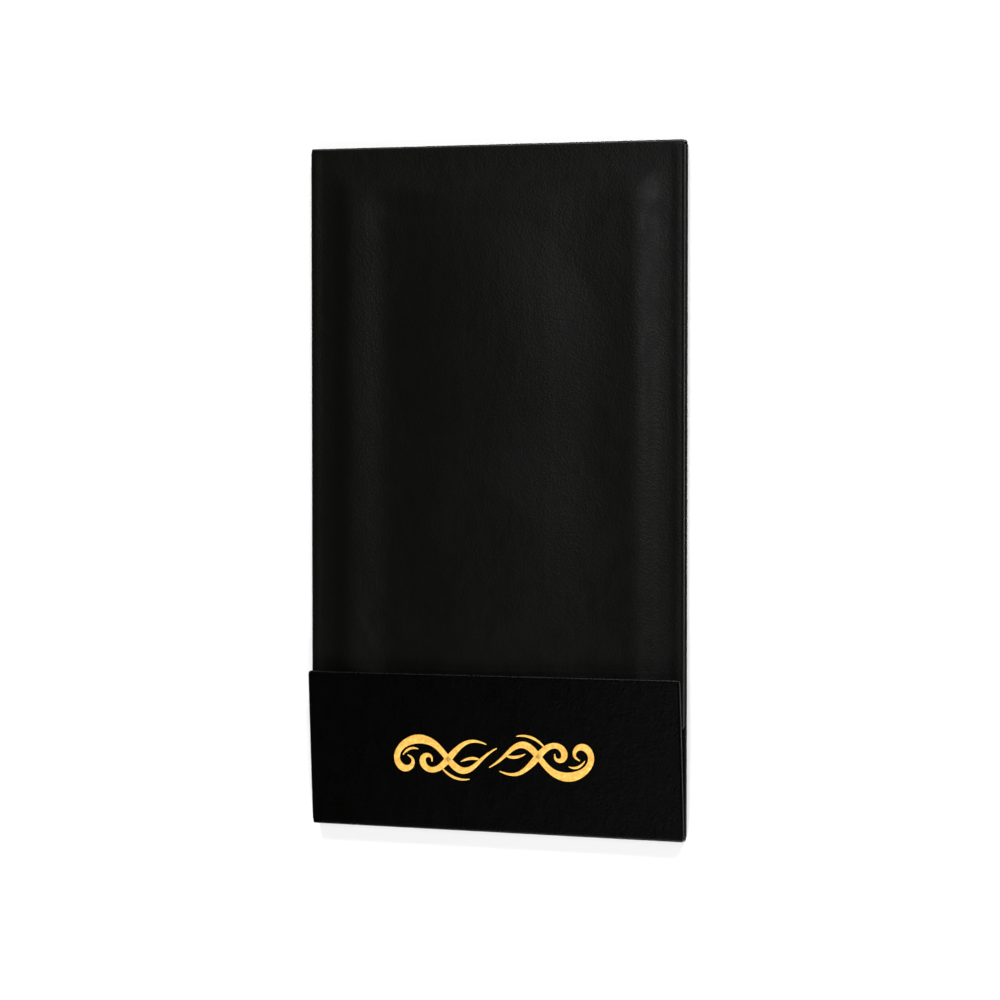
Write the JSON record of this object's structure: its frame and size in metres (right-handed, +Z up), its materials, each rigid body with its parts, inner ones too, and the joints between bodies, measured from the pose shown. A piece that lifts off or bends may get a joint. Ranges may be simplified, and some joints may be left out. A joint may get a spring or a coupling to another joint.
{
  "type": "guest check presenter",
  "caption": "Matchbook-style guest check presenter: black leatherette back, padded cover hinged at the top, and a bottom flap that holds the cover's end.",
  "frame": {"origin": "middle of the underside of the closed presenter lying on its back", "axes": "+X across the width to the right as the front is read, +Y along the length towards the top fold, +Z up out of the front cover"},
  "size_m": [0.1396, 0.2414, 0.0085],
  "materials": {
    "leatherette": "satin",
    "card": "matte",
    "foam": "matte",
    "lining": "matte",
    "gold_foil": "satin"
  },
  "bodies": {
    "back": {"back_board": "card", "back_skin": "leatherette", "back_liner": "lining", "card_pocket": "lining"},
    "top_fold": {"top_fold_skin": "leatherette", "top_fold_liner": "lining"},
    "cover": {"cover_board": "card", "cover_foam": "foam", "cover_skin": "leatherette", "cover_liner": "lining"},
    "bottom_fold": {"bottom_fold_skin": "leatherette", "bottom_fold_liner": "lining"},
    "flap": {"flap_board": "card", "flap_skin": "leatherette", "flap_liner": "lining"}
  },
  "joints": [
    {"name": "cover_opens", "type": "hinge", "parent": "back", "child": "top_fold", "pos_m": [0, 0.12045, 0.0002], "axis": [-1, 0, 0], "range_deg": [0, 90]},
    {"name": "cover_unfolds", "type": "hinge", "parent": "top_fold", "child": "cover", "pos_m": [0, 0.12045, 0.0048], "axis": [-1, 0, 0], "range_deg": [0, 90]},
    {"name": "flap_opens", "type": "hinge", "parent": "back", "child": "bottom_fold", "pos_m": [0, -0.12045, 0.0002], "axis": [1, 0, 0], "range_deg": [0, 88]},
    {"name": "flap_unfolds", "type": "hinge", "parent": "bottom_fold", "child": "flap", "pos_m": [0, -0.12045, 0.0046], "axis": [1, 0, 0], "range_deg": [0, 88]}
  ],
  "couplings": [
    {"joint": "cover_unfolds", "follows": "cover_opens", "ratio": 1},
    {"joint": "flap_unfolds", "follows": "flap_opens", "ratio": 1}
  ]
}
